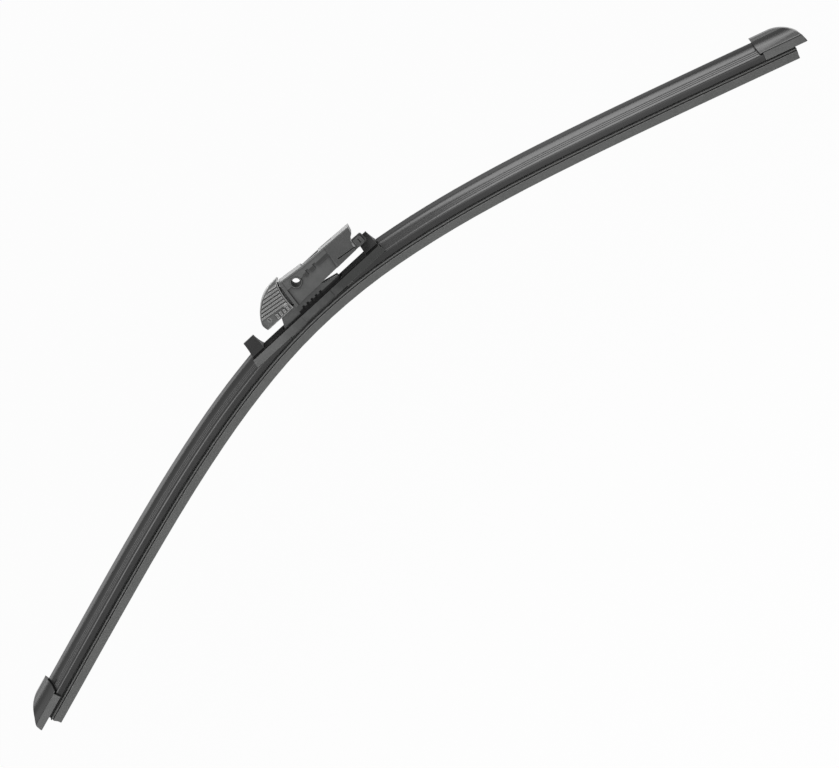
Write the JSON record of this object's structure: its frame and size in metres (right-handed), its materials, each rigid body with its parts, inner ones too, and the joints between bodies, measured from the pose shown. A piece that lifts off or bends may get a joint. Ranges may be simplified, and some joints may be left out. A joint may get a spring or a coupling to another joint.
{
  "type": "wiper blade",
  "caption": "Flat beam windscreen wiper blade: a bowed rubber on spring rails under a spoiler, with end caps and a pivoting arm adapter with a ribbed release lever.",
  "frame": {"origin": "centre of the side pin bore, on the blade's long middle plane", "axes": "+X along the blade towards the adapter's nose, +Y along the pivot axis to the lee side, +Z away from the glass"},
  "size_m": [0.5928, 0.0156, 0.1083],
  "materials": {
    "wiper_rubber": "dry coated",
    "spring_steel": "black coated",
    "spoiler_rubber": "satin",
    "cap_plastic": "satin",
    "saddle_casting": "black coated",
    "plated_steel": "plated",
    "base_plastic": "satin",
    "adapter_plastic": "satin",
    "lever_plastic": "satin"
  },
  "bodies": {
    "blade": {"wiper_rubber": "wiper_rubber", "spring_rail_front": "spring_steel", "spring_rail_rear": "spring_steel", "spoiler_left": "spoiler_rubber", "spoiler_right": "spoiler_rubber", "end_cap_left": "cap_plastic", "end_cap_right": "cap_plastic", "rail_saddle": "saddle_casting", "pivot_tube": "spring_steel", "connector_base": "base_plastic"},
    "adapter": {"adapter_housing": "adapter_plastic", "lever_pin": "plated_steel"},
    "lever": {"release_lever": "lever_plastic"}
  },
  "joints": [
    {"name": "adapter_pivot", "type": "hinge", "parent": "blade", "child": "adapter", "pos_m": [0, 0, 0], "axis": [0, 1, 0], "range_deg": [-7, 3]},
    {"name": "lever_press", "type": "hinge", "parent": "adapter", "child": "lever", "pos_m": [-0.0135, 0, -0.0055], "axis": [0, 1, 0], "range_deg": [-3, 0], "stiffness_Nm_per_rad": 0.1}
  ]
}
